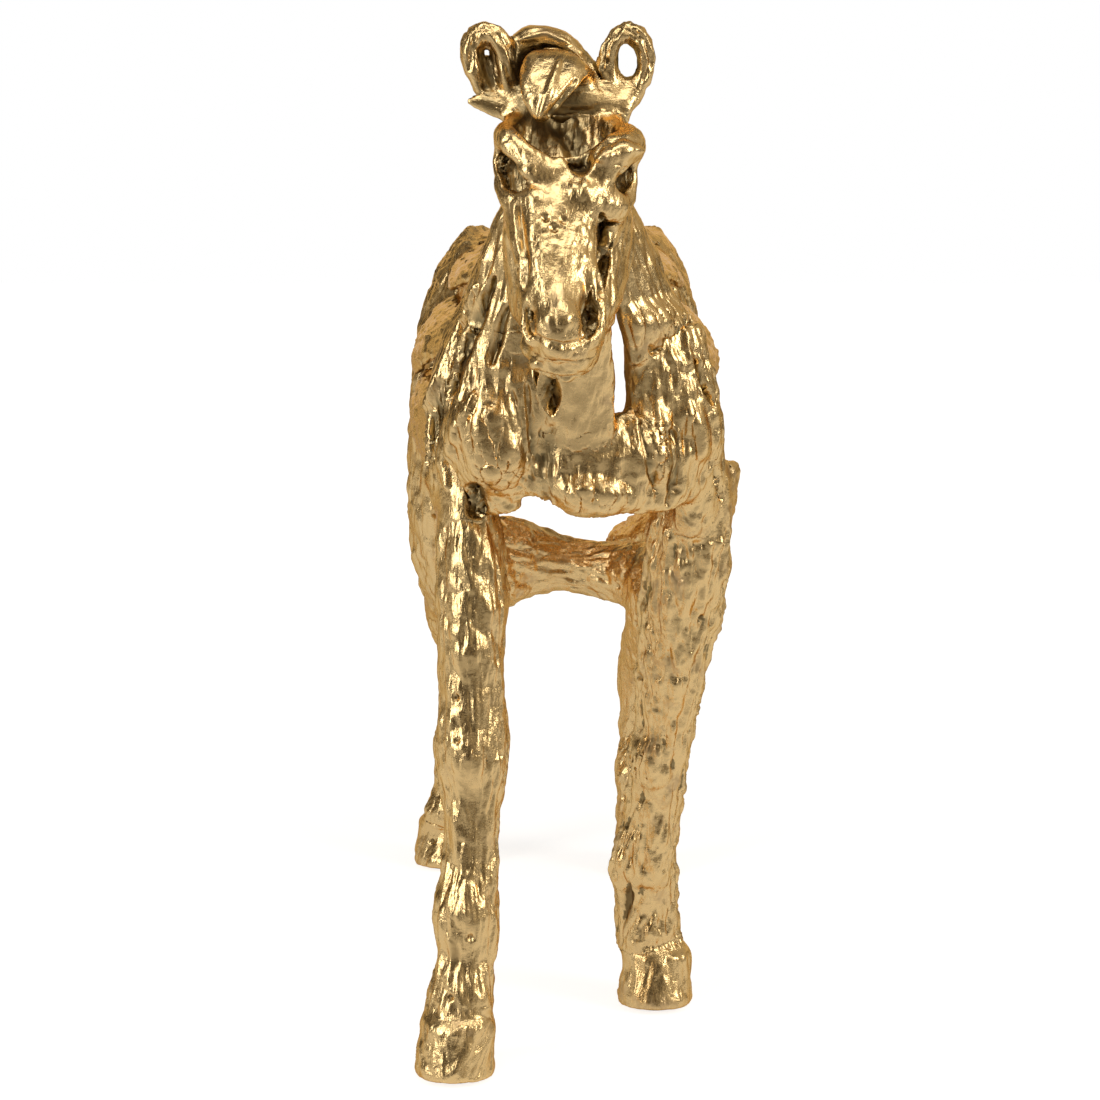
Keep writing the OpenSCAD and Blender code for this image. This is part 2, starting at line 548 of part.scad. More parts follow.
skull();
lower_jaw();
right_cheek();
left_cheek();
right_ear();
left_ear();
poll();
forelock();
crest_lock();
mane_flake();
neck_crest();
mane_locks();
neck_right_strap();
neck_left_strap();
right_neck_side();
left_neck_side();
throat_strap();
chest();
right_shoulder();
left_shoulder();
back_strap();
croup();
right_rib(0);  // right_back_rib
right_rib(1);  // right_upper_rib
right_rib(2);  // right_lower_rib
right_rib(3);  // right_flank_strap
left_rib(0);  // left_back_rib
left_rib(1);  // left_upper_rib
left_rib(2);  // left_lower_rib
left_rib(3);  // left_flank_strap
right_haunch();
left_haunch();
hind_yoke();
tail();
right_foreleg();
left_foreleg();
right_hindleg();
left_hindleg();
hoof(right_fore_foot);  // right_fore_hoof
hoof(left_fore_foot);  // left_fore_hoof
hoof(right_hind_foot);  // right_hind_hoof
hoof(left_hind_foot);  // left_hind_hoof
hoof_pads();
rods([right_fore_rod_line]);  // right_fore_rod
rods([left_fore_rod_line]);  // left_fore_rod
rods(right_hind_rod_lines);  // right_hind_rods
rods(left_hind_rod_lines);  // left_hind_rods
rods([spine_rod_line]);  // spine_rod
rods([neck_rod_line]);  // neck_rod
rods([tail_pin_line]);  // tail_pin
strap_dowels();
head_pins();
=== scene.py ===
"""Gilded walking horse: hand-worked skins for the castings, finishes for the armature, and a studio."""
import math
from typing import NamedTuple

import bmesh
import bpy
import numpy as np
from bpy.props import FloatProperty, FloatVectorProperty, IntProperty, PointerProperty
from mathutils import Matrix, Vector


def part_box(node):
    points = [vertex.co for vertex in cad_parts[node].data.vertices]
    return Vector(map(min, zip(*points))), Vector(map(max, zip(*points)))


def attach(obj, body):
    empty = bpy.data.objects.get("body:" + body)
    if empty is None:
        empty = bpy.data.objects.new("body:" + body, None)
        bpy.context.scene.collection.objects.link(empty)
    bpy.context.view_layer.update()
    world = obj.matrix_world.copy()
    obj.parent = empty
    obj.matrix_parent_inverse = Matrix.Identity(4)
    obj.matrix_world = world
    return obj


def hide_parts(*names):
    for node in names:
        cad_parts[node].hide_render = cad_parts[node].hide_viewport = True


bl_info = {
    "name": "Gilded walking horse",
    "version": (1, 0, 0),
    "blender": (4, 5, 0),
    "location": "3D View > Sidebar > Horse",
    "description": "Works the castings of a gilded horse statue and sets them in a studio",
    "category": "Object",
}

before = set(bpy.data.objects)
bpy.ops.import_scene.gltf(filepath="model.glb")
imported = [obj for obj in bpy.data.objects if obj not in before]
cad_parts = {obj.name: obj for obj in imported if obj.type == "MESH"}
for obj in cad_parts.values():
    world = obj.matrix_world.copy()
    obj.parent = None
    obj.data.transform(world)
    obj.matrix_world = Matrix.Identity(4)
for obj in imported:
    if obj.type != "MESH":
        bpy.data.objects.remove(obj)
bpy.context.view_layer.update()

MM = 0.001
BODY = "root"
STEEL_NODES = ("right_fore_rod", "left_fore_rod", "right_hind_rods", "left_hind_rods", "spine_rod",
               "neck_rod", "tail_pin", "strap_dowels", "head_pins")
PAD_NODE = "hoof_pads"
PAD_RIM = 0.35 * MM
GOLD_NODES = tuple(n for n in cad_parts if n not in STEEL_NODES and n != PAD_NODE)


class Flow:
    """The output of a node, used in sums: each sign adds the node that it stands for."""

    def __init__(self, graph, socket):
        self.graph = graph
        self.socket = socket

    def _join(self, operation, first, second):
        vectors = [v for v in (first, second) if isinstance(v, tuple)
                   or isinstance(v, Flow) and v.socket.type == "VECTOR"]
        kind = "ShaderNodeVectorMath" if vectors else "ShaderNodeMath"
        return self.graph.node(kind, {"operation": operation}, {0: first, 1: second})

    def __add__(self, other):
        return self._join("ADD", self, other)

    def __radd__(self, other):
        return self._join("ADD", other, self)

    def __sub__(self, other):
        return self._join("SUBTRACT", self, other)

    def __rsub__(self, other):
        return self._join("SUBTRACT", other, self)

    def __mul__(self, other):
        return self._join("MULTIPLY", self, other)

    def __rmul__(self, other):
        return self._join("MULTIPLY", other, self)

    def __truediv__(self, other):
        return self._join("DIVIDE", self, other)

    def __rtruediv__(self, other):
        return self._join("DIVIDE", other, self)

    def __abs__(self):
        return self.graph.node("ShaderNodeMath", {"operation": "ABSOLUTE"}, {0: self})

    def least(self, other):
        """This value, but at least the other."""
        return self._join("MAXIMUM", self, other)

    def most(self, other):
        """This value, but at most the other."""
        return self._join("MINIMUM", self, other)

    def length(self):
        return self.graph.node("ShaderNodeVectorMath", {"operation": "LENGTH"}, {0: self}, output="Value")

    def dot(self, other):
        return self.graph.node("ShaderNodeVectorMath", {"operation": "DOT_PRODUCT"}, {0: self, 1: other},
                               output="Value")

    def ease(self, low, high):
        """0 up to low, 1 from high on, and a soft step between them."""
        return self.graph.node("ShaderNodeMapRange", {"interpolation_type": "SMOOTHSTEP"},
                               {"Value": self, "From Min": low, "From Max": high})


class Graph:
    """A node tree that is built from expressions."""

    def __init__(self, tree):
        self.tree = tree

    def put(self, socket, value):
        """Links a socket to a flow, or gives it a value of its own."""
        if isinstance(value, Flow):
            self.tree.links.new(value.socket, socket)
        elif socket.type in ("VECTOR", "RGBA") and isinstance(value, (int, float)):
            socket.default_value = [value] * len(socket.default_value)
        elif socket.type == "RGBA" and len(value) == 3:
            socket.default_value = (*value, 1)
        else:
            socket.default_value = value

    def node(self, kind, settings=None, inputs=None, output=0):
        """Adds a node: its settings come first, then the values or links of its sockets."""
        node = self.tree.nodes.new(kind)
        for name, value in (settings or {}).items():
            setattr(node, name, value)
        for name, value in (inputs or {}).items():
            self.put(node.inputs[name], value)
        return Flow(self, node.outputs[output]) if node.outputs else node

    def given(self, name):
        """An input of a geometry tree."""
        entry = self.tree.nodes.get("Group Input") or self.tree.nodes.new("NodeGroupInput")
        return Flow(self, entry.outputs[name])

    def noise(self, at, size, detail=2.0, roughness=0.5, distortion=0.0):
        """Cloudy noise from about -1 to 1 with features of the given size."""
        cloud = self.node("ShaderNodeTexNoise", {}, {
            "Vector": at, "Scale": 1 / size, "Detail": detail, "Roughness": roughness,
            "Distortion": distortion})
        return cloud * 2.0 - 1.0

    def wander(self, at, size, reach):
        """A place moved about by up to half the reach, in swirls of the given size."""
        swirl = self.node("ShaderNodeTexNoise", {}, {"Vector": at, "Scale": 1 / size, "Detail": 1.0}, 1)
        return at + (swirl - (0.5, 0.5, 0.5)) * reach

    def mix(self, factor, first, second):
        """A colour between two others."""
        return self.node("ShaderNodeMix", {"data_type": "RGBA"}, {0: factor, 6: first, 7: second}, 2)


class CastingSettings(bpy.types.PropertyGroup):
    """Sizes of the skin and of the marks that the castings carry."""
    grid: FloatProperty(name="Grid", description="Spacing of the points of a casting's skin",
                        default=1.07 * MM, min=0.8 * MM, max=3 * MM, precision=5, unit="LENGTH")
    form_grid: FloatProperty(name="Form grid", description="Spacing of the points of the fused form",
                             default=1.6 * MM, min=1 * MM, max=4 * MM, precision=5, unit="LENGTH")
    fillet: FloatProperty(name="Fillet", description="Radius of the fillets where castings are fused",
                          default=2.6 * MM, min=0.5 * MM, max=6 * MM, precision=5, unit="LENGTH")
    smoothing: IntProperty(name="Smoothing", description="Passes that round off the fused form",
                           default=12, min=0, max=60)
    lap: FloatProperty(name="Lap", description="How far a skin runs on into the next casting",
                       default=2 * MM, min=0, max=5 * MM, precision=4, unit="LENGTH")
    lump_height: FloatProperty(name="Lump height", description="Height of the broad lumps",
                               default=2.0 * MM, precision=5, unit="LENGTH")
    lump_size: FloatProperty(name="Lump size", description="Distance between the broad lumps",
                             default=26 * MM, precision=4, unit="LENGTH")
    pillow_height: FloatProperty(name="Pillow height", description="Height of the pressed pillows",
                                 default=1.3 * MM, precision=5, unit="LENGTH")
    pillow_size: FloatProperty(name="Pillow size", description="Distance between the creases round a pillow",
                               default=13 * MM, precision=4, unit="LENGTH")
    stroke_height: FloatProperty(name="Stroke height", description="Height of the ridges along a casting",
                                 default=1.6 * MM, precision=5, unit="LENGTH")
    stroke_width: FloatProperty(name="Stroke width", description="Distance between those ridges",
                                default=9 * MM, precision=4, unit="LENGTH")
    stroke_stretch: FloatProperty(name="Stroke stretch", description="Length of a ridge over its width",
                                  default=7, min=1, max=20)
    dent_depth: FloatProperty(name="Dent depth", description="Depth of the hammered dents",
                              default=0.8 * MM, precision=5, unit="LENGTH")
    dent_size: FloatProperty(name="Dent size", description="Distance between the dents",
                             default=12 * MM, precision=4, unit="LENGTH")
    crumb_height: FloatProperty(name="Crumb height", description="Height of the crumbly patches",
                                default=1.2 * MM, precision=5, unit="LENGTH")
    crumb_size: FloatProperty(name="Crumb size", description="Distance between crumbs",
                              default=5 * MM, precision=4, unit="LENGTH")
    pit_depth: FloatProperty(name="Pit depth", description="Depth of the scattered pits",
                             default=1.8 * MM, precision=5, unit="LENGTH")
    pit_spacing: FloatProperty(name="Pit spacing", description="Distance between pits",
                               default=20 * MM, precision=4, unit="LENGTH")
    split_depth: FloatProperty(name="Split depth", description="Depth of the splits along the grain",
                               default=0.7 * MM, precision=5, unit="LENGTH")
    split_spacing: FloatProperty(name="Split spacing", description="Distance between those splits",
                                 default=26 * MM, precision=4, unit="LENGTH")


class GoldSettings(bpy.types.PropertyGroup):
    """Colours of the gold leaf, with the painted shade of its hollows."""
    leaf: FloatVectorProperty(name="Leaf", description="Burnished gold leaf", subtype="COLOR",
                              default=(0.93, 0.66, 0.31), min=0, max=1)
    satin: FloatVectorProperty(name="Satin leaf", description="Leaf that has lost its shine", subtype="COLOR",
                               default=(0.66, 0.46, 0.24), min=0, max=1)
    # Painted shade: the darker leaf laid where the form is hollow and in sunk grooves
    deep: FloatVectorProperty(name="Deep leaf", description="Leaf in the hollows", subtype="COLOR",
                              default=(0.47, 0.36, 0.18), min=0, max=1)
    # Toning in pits, cracks and dull patches, also used as painted shade in the hollows and low places
    umber_and_shade: FloatVectorProperty(name="Umber", description="Toning that stays in pits and cracks",
                               subtype="COLOR", default=(0.19, 0.115, 0.04), min=0, max=1)
    rim: FloatVectorProperty(name="Rim tint", description="Tint of the leaf seen edge on", subtype="COLOR",
                             default=(0.75, 0.52, 0.27), min=0, max=1)
    shine: FloatProperty(name="Shine", description="Roughness of the burnished leaf", default=0.26,
                         min=0, max=1, subtype="FACTOR")


class StudioSettings(bpy.types.PropertyGroup):
    """The lamps, the floor and the camera."""
    key_power: FloatProperty(name="Key", description="Power of the soft lamp on the viewer's left",
                             default=9.5, unit="POWER")
    fill_power: FloatProperty(name="Fill", description="Power of the soft lamp on the viewer's right",
                              default=6.5, unit="POWER")
    top_power: FloatProperty(name="Top", description="Power of the soft lamp overhead", default=6,
                             unit="POWER")
    room: FloatVectorProperty(name="Room", description="The dim room round the white paper", subtype="COLOR",
                              default=(0.04, 0.03, 0.02), min=0, max=1)
    screens: FloatVectorProperty(name="Screens", description="Pale screens that stand about in the room",
                                 subtype="COLOR", default=(0.42, 0.37, 0.29), min=0, max=1)
    lens: FloatProperty(name="Lens", description="Focal length of the camera in millimetres",
                        default=94.1, min=20, max=200)


def piece_mesh(names):
    """One mesh of several CAD nodes, with the doubled points of their loose triangles merged."""
    built = bmesh.new()
    for name in names:
        built.from_mesh(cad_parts[name].data)
    bmesh.ops.remove_doubles(built, verts=built.verts, dist=1e-6)
    mesh = bpy.data.meshes.new("plain")
    built.to_mesh(mesh)
    built.free()
    return mesh


def helper(name, names):
    """A passing object that the node trees measure against."""
    shape = bpy.data.objects.new(name, piece_mesh(names))
    bpy.context.scene.collection.objects.link(shape)
    return shape


def discard(shape):
    """Removes a passing object and its mesh."""
    mesh = shape.data
    bpy.data.objects.remove(shape)
    bpy.data.meshes.remove(mesh)


def neighbours(name, reach):
    """The other castings whose boxes come within reach of this one's."""
    low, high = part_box(name)
    found = []
    for other in GOLD_NODES:
        other_low, other_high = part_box(other)
        apart = [max(other_low[i] - high[i], low[i] - other_high[i]) for i in range(3)]
        if other != name and max(apart) < reach:
            found.append(other)
    return found


def long_way(mesh):
    """The direction in which a mesh is longest."""
    points = np.empty(len(mesh.vertices) * 3)
    mesh.vertices.foreach_get("co", points)
    points = points.reshape(-1, 3)
    spread = np.cov((points - points.mean(axis=0)).T)
    return Vector(np.linalg.eigh(spread)[1][:, -1])


def spread_directions(count):
    """Directions spread evenly over half a ball."""
    turn = math.pi * (3 - math.sqrt(5))
    ways = []
    for i in range(count):
        z = (i + 0.5) / count
        r = math.sqrt(1 - z * z)
        ways.append((r * math.cos(turn * i), r * math.sin(turn * i), z))
    return ways


# Rays that find out how hollow a place is, for the painted shade in the hollows: their number, how far they
# look and how far out they start
HOLLOW_RAYS = 12
HOLLOW_REACH = 70 * MM
HOLLOW_START = 2.2 * MM
# How far pillows and strokes stray from the grain: the size of the swirls, and their reach
PILLOW_STRAY = (20 * MM, 12 * MM)
STROKE_STRAY = (30 * MM, 7 * MM)
# Length of a pillow over its width
PILLOW_STRETCH = 2.2
# Breadth of the areas that are pressed harder, and of the crumbly patches
PRESSED_AREA = 28 * MM
CRUMB_PATCH = 34 * MM
# Gaps between castings over which a skin stops lapping, and over which it gets a relief of its own
LAP_FADE = (0.3 * MM, 1.5 * MM)
JOINT_FADE = (1 * MM, 6 * MM)
# Distances from the fused form over which a skin is no longer drawn to it, and no longer sinks under it
DRAW_FADE = (5 * MM, 8 * MM)
SINK_FADE = (3 * MM, 6 * MM)
SINK_DEPTH = 3 * MM
# Heights over the ground between which the relief sets in
GROUND_FADE = (0.8 * MM, 5 * MM)
# Relief that counts as 1 for the finish
FULL_RELIEF = 1.5 * MM


def open_tree(name, inputs):
    """A new geometry tree with the named inputs."""
    tree = bpy.data.node_groups.new(name, "GeometryNodeTree")
    tree.interface.new_socket("Casting", in_out="INPUT", socket_type="NodeSocketGeometry")
    for title, kind in inputs.items():
        tree.interface.new_socket(title, in_out="INPUT", socket_type="NodeSocket" + kind)
    tree.interface.new_socket("Casting", in_out="OUTPUT", socket_type="NodeSocketGeometry")
    return Graph(tree)


def close_tree(graph, form, material):
    """Ends a geometry tree as one plain mesh with its finish."""
    form = graph.node("GeometryNodeSetShadeSmooth", {}, {"Geometry": form})
    form = graph.node("GeometryNodeRealizeInstances", {}, {"Geometry": form})
    form = graph.node("GeometryNodeSetMaterial", {}, {"Geometry": form, "Material": material})
    leave = graph.tree.nodes.new("NodeGroupOutput")
    graph.put(leave.inputs["Casting"], form)
    return graph.tree


def made_by(tree, shape, values):
    """The mesh that a tree makes of a passing object, which is discarded."""
    modifier = shape.modifiers.new("worked", "NODES")
    modifier.node_group = tree
    for item in tree.interface.items_tree:
        if item.in_out == "INPUT" and item.name in values:
            modifier[item.identifier] = values[item.name]
    depsgraph = bpy.context.evaluated_depsgraph_get()
    mesh = bpy.data.meshes.new_from_object(shape.evaluated_get(depsgraph), preserve_all_data_layers=True,
                                           depsgraph=depsgraph)
    if not mesh.vertices:
        raise RuntimeError(shape.name + " has no skin")
    discard(shape)
    return mesh


def position(graph):
    """The place of each point of a form."""
    return graph.node("GeometryNodeInputPosition")


def normal(graph):
    """The way that each point of a form faces."""
    return graph.node("GeometryNodeInputNormal")


def gridded(graph, shape, grid, band, level):
    """A shape on an even grid, grown by the level."""
    field = graph.node("GeometryNodeMeshToSDFGrid", {},
                       {"Mesh": shape, "Voxel Size": grid, "Band Width": band})
    return graph.node("GeometryNodeGridToMesh", {}, {"Grid": field, "Threshold": level})


def fused_tree(material):
    """Nodes that fuse the castings into one form with filleted joints."""
    graph = open_tree("fused_form", {"Grid": "Float", "Fillet": "Float", "Smoothing": "Int"})
    grid = graph.given("Grid")
    fillet = graph.given("Fillet")
    swollen = gridded(graph, graph.given("Casting"), grid, 4, fillet)
    form = gridded(graph, swollen, grid, 4, 0 - fillet)

    # The second blur gives back what the first one shrinks
    def blurred(value):
        return graph.node("GeometryNodeBlurAttribute", {"data_type": "FLOAT_VECTOR"},
                          {"Value": value, "Iterations": graph.given("Smoothing")})

    at = position(graph)
    soft = blurred(at)
    form = graph.node("GeometryNodeSetPosition", {},
                      {"Geometry": form, "Position": soft + blurred(at - soft)})
    return close_tree(graph, form, material)


AMOUNTS = ("Grid", "Lap", "Lump height", "Lump size", "Joint lumps", "Pillow height", "Pillow size",
           "Stroke height", "Stroke width", "Stroke stretch", "Dent depth", "Dent size", "Crumb height",
           "Crumb size", "Crumb cover", "Pit depth", "Pit spacing", "Split depth", "Split spacing", "Dull")
CASTING_INPUTS = {"Neighbours": "Object", "Fused": "Object", "Statue": "Object", "Grain": "Vector",
                  **{title: "Float" for title in AMOUNTS}}


def casting_tree(material):
    """Nodes that draw a plain casting out to the fused form and work it by hand."""
    graph = open_tree("worked_casting", CASTING_INPUTS)
    given = graph.given

    def shape_of(name):
        return graph.node("GeometryNodeObjectInfo", {"transform_space": "ORIGINAL"}, {"Object": given(name)},
                          "Geometry")

    def cells(at, size):
        return graph.node("ShaderNodeTexVoronoi", {"feature": "F1"}, {"Vector": at, "Scale": 1 / size})

    def stored(shape, kind, name, value):
        return graph.node("GeometryNodeStoreNamedAttribute", {"data_type": kind, "domain": "POINT"},
                          {"Geometry": shape, "Name": name, "Value": value})

    # At a joint the skin runs on into the next casting, so that no groove is left
    form = gridded(graph, given("Casting"), given("Grid"), 3, 0.0)
    facing = normal(graph)
    gap = graph.node("GeometryNodeProximity", {"target_element": "FACES"},
                     {0: shape_of("Neighbours"), 2: position(graph)}, "Distance")
    lapped = position(graph) + facing * (given("Lap") * (1 - gap.ease(*LAP_FADE)))

    # The outer skin moves to the fused form, and what lies in the joint sinks under it
    fused = shape_of("Fused")

    def on_fused(value):
        return graph.node("GeometryNodeSampleNearestSurface", {"data_type": "FLOAT_VECTOR"},
                          {"Mesh": fused, "Value": value, "Sample Position": lapped})

    at = on_fused(position(graph))
    outward = on_fused(normal(graph))
    away = (at - lapped).length()
    outer = facing.dot(outward).ease(0.1, 0.55) * (1 - away.ease(*DRAW_FADE))
    sunk = lapped - outward * (SINK_DEPTH * (1 - away.ease(*SINK_FADE)))

    # Broad lumps, and pillows with creases between them
    lump = graph.noise(at, given("Lump size"), 1.5) + graph.noise(at, given("Lump size") * 0.45) * 0.5
    grain = given("Grain")

    def drawn(stretch):
        return at - grain * (at.dot(grain) * (1 - 1 / stretch))

    pillow = abs(graph.noise(graph.wander(drawn(PILLOW_STRETCH), *PILLOW_STRAY), given("Pillow size"), 1.0))
    relief = given("Lump height") * lump + given("Pillow height") * (pillow * 2.6 - 0.6)

    # Strokes that run along the grain and wander a little, deeper in some places
    stroke_width = given("Stroke width")
    along = graph.wander(drawn(given("Stroke stretch")), *STROKE_STRAY)
    pressed = 0.6 + graph.noise(at, PRESSED_AREA).ease(-0.25, 0.25) * 0.7
    stroke = abs(graph.noise(along, stroke_width, 2.5, 0.55))
    fine_stroke = abs(graph.noise(along, stroke_width * 0.4, 1.5))
    relief = relief + given("Stroke height") * (pressed * (0.5 - stroke * 2.0) - fine_stroke * 0.6)

    # Hammered dents with sharp rims
    dent = cells(along * 0.5 + at * 0.5, given("Dent size"))
    relief = relief + given("Dent depth") * (dent * dent * 1.6 - 0.5)

    # Crumbly patches
    patch = (graph.noise(at, CRUMB_PATCH) + given("Crumb cover")).ease(0.05, 0.3)
    relief = relief + given("Crumb height") * patch * (0.55 - cells(at, given("Crumb size")))

    # Scattered pits, and splits along the grain
    pit = 1 - cells(at, given("Pit spacing")).ease(0.03, 0.14)
    split = 1 - cells(along, given("Split spacing")).ease(0.05, 0.17)
    relief = relief - given("Pit depth") * pit - given("Split depth") * split

    # Both castings carry the same relief where they meet, so that no seam shows
    joint = 1 - gap.ease(*JOINT_FADE)
    relief = relief + (given("Joint lumps") * lump - relief) * joint

    # The ground faces stay plain
    height = graph.node("ShaderNodeSeparateXYZ", {}, {0: at}, 2)
    skin = at + outward * (relief * height.ease(*GROUND_FADE))

    # What the finish needs to know: relief, direction of the strokes, dull patches and, last, hollows; relief
    # and hollows set its painted shade
    form = stored(form, "FLOAT", "relief", relief / FULL_RELIEF)
    form = stored(form, "FLOAT", "pitted", pit.least(split) * (1 - joint))
    form = stored(form, "FLOAT_VECTOR", "along", along)
    form = stored(form, "FLOAT", "dull", given("Dull"))
    form = graph.node("GeometryNodeSetPosition", {},
                      {"Geometry": form, "Position": sunk + (skin - sunk) * outer})
    statue = shape_of("Statue")
    facing = normal(graph)
    start = position(graph) + facing * HOLLOW_START
    blocked = None
    total = None
    for way in spread_directions(HOLLOW_RAYS):
        lean = facing.dot(way)
        side = graph.node("ShaderNodeMath", {"operation": "SIGN"}, {0: lean})
        ray = graph.node("ShaderNodeVectorMath", {"operation": "MULTIPLY"}, {0: way, 1: side})
        hit = graph.node("GeometryNodeRaycast", {}, {
            "Target Geometry": statue, "Source Position": start, "Ray Direction": ray,
            "Ray Length": HOLLOW_REACH}, "Is Hit")
        hit = hit * abs(lean)
        blocked = hit if blocked is None else blocked + hit
        total = abs(lean) if total is None else total + abs(lean)
    form = stored(form, "FLOAT", "hollow", blocked / total)
    return close_tree(graph, form, material)


GILDING = "worked_gold_leaf"
# Sizes of the patterns in the leaf
CLOUD = 18 * MM
MOTTLE = 3.5 * MM
CRACKLE = 4.2 * MM
CRACKLE_AREA = 11 * MM
CRACKLE_STRAY = (6 * MM, 3 * MM)
BRUSH_LINE = 1.9 * MM
CRINKLE = 2.4 * MM
CRINKLE_STRAY = (5 * MM, 3 * MM)
GRIT = 1.1 * MM
# Height of the finest relief, which is bump
LEAF_BUMP = 0.4 * MM


def gold_leaf():
    """Gold leaf over cast metal: burnished ridges, painted amber shade in the hollows and low places, dark
    toning in the pits.
    """
    settings = bpy.context.scene.horse_gold
    material = bpy.data.materials.new(GILDING)
    material.use_nodes = True
    material.node_tree.nodes.clear()
    graph = Graph(material.node_tree)

    def attribute(name, output="Fac"):
        return graph.node("ShaderNodeAttribute", {"attribute_name": name}, {}, output)

    at = graph.node("ShaderNodeTexCoord", {}, {}, "Object")
    along = attribute("along", "Vector")
    hollow = attribute("hollow")
    relief = attribute("relief")
    dull = attribute("dull")

    cloud = graph.noise(at, CLOUD, 4.0, 0.6)
    mottle = graph.noise(at, MOTTLE, 3.0, 0.65)
    satin = (cloud * 1.1 + mottle * 0.4 + dull * 0.4 - 0.15).ease(0.0, 0.5)
    cracks = graph.node("ShaderNodeTexVoronoi", {"feature": "DISTANCE_TO_EDGE"}, {
        "Vector": graph.wander(along, *CRACKLE_STRAY), "Scale": 1 / CRACKLE})
    crack = (1 - cracks.ease(0.0, 0.08)) * graph.noise(at, CRACKLE_AREA, 2.0).ease(-0.1, 0.3)
    brushed = graph.noise(along, BRUSH_LINE, 3.0, 0.6)
    crinkle = graph.noise(graph.wander(at, *CRINKLE_STRAY), CRINKLE, 3.0, 0.6)
    grit = graph.noise(at, GRIT, 2.0, 0.6)

    # Painted shade: the hollows and the low places of the relief are darkened, a little unevenly
    low = (0.1 - relief).ease(0.0, 1.3)
    hollow_shade = (hollow * 1.5 + low * 0.35 - 0.3 + cloud * 0.2).ease(0.1, 1.0)
    leaf = graph.mix(satin * 0.8, settings.leaf, settings.satin)
    # Painted shade: the leaf turns to the deeper colour where the form is hollow
    leaf = graph.mix((hollow + cloud * 0.15).ease(0.15, 0.65), leaf, settings.deep)
    # Dark toning in pits, splits, cracks and dull patches, mixed with the painted shade of the hollows
    toned_and_shaded = (hollow_shade * (0.5 + mottle * 0.5) + attribute("pitted") * 0.6 + satin * mottle * 0.35
             + crack * 0.15 + dull * (0.35 + cloud * 0.3 + mottle * 0.4)).ease(0.05, 1.0)
    colour = graph.mix(toned_and_shaded * 0.75, leaf, settings.umber_and_shade)

    rough = settings.shine + satin * 0.12 + toned_and_shaded * 0.12 + (brushed + mottle) * 0.05 + hollow * 0.06
    height = (brushed * 0.34 + crinkle * 0.34 + grit * 0.08 * (0.3 + satin) + mottle * 0.15 - crack * 0.2)
    bump = graph.node("ShaderNodeBump", {}, {"Strength": 1.0, "Distance": LEAF_BUMP, "Height": height})
    shader = graph.node("ShaderNodeBsdfPrincipled", {}, {
        "Base Color": colour, "Metallic": 1.0, "Roughness": rough.least(0.1).most(0.7),
        "Specular Tint": tuple(settings.rim), "Normal": bump})
    graph.node("ShaderNodeOutputMaterial", {}, {"Surface": shader})
    return material


FUSED_FORM = "fused_form"


class HORSE_OT_form(bpy.types.Operator):
    """Fuses the plain castings into the form that their skins are drawn out to"""
    bl_idname = "horse.form"
    bl_label = "Fused form"

    def execute(self, context):
        settings = context.scene.horse_casting
        plain = helper("plain_statue", (*GOLD_NODES, *STEEL_NODES))
        values = {"Grid": settings.form_grid, "Fillet": settings.fillet, "Smoothing": settings.smoothing}
        mesh = made_by(fused_tree(gold_leaf()), plain, values)
        fused = bpy.data.objects.new(FUSED_FORM, mesh)
        context.scene.collection.objects.link(fused)
        return {"FINISHED"}


class Mark(NamedTuple):
    """A listed mark, seen from the front, in millimetres; its points lie across and up."""
    castings: tuple
    height: float
    half_width: float
    points: tuple


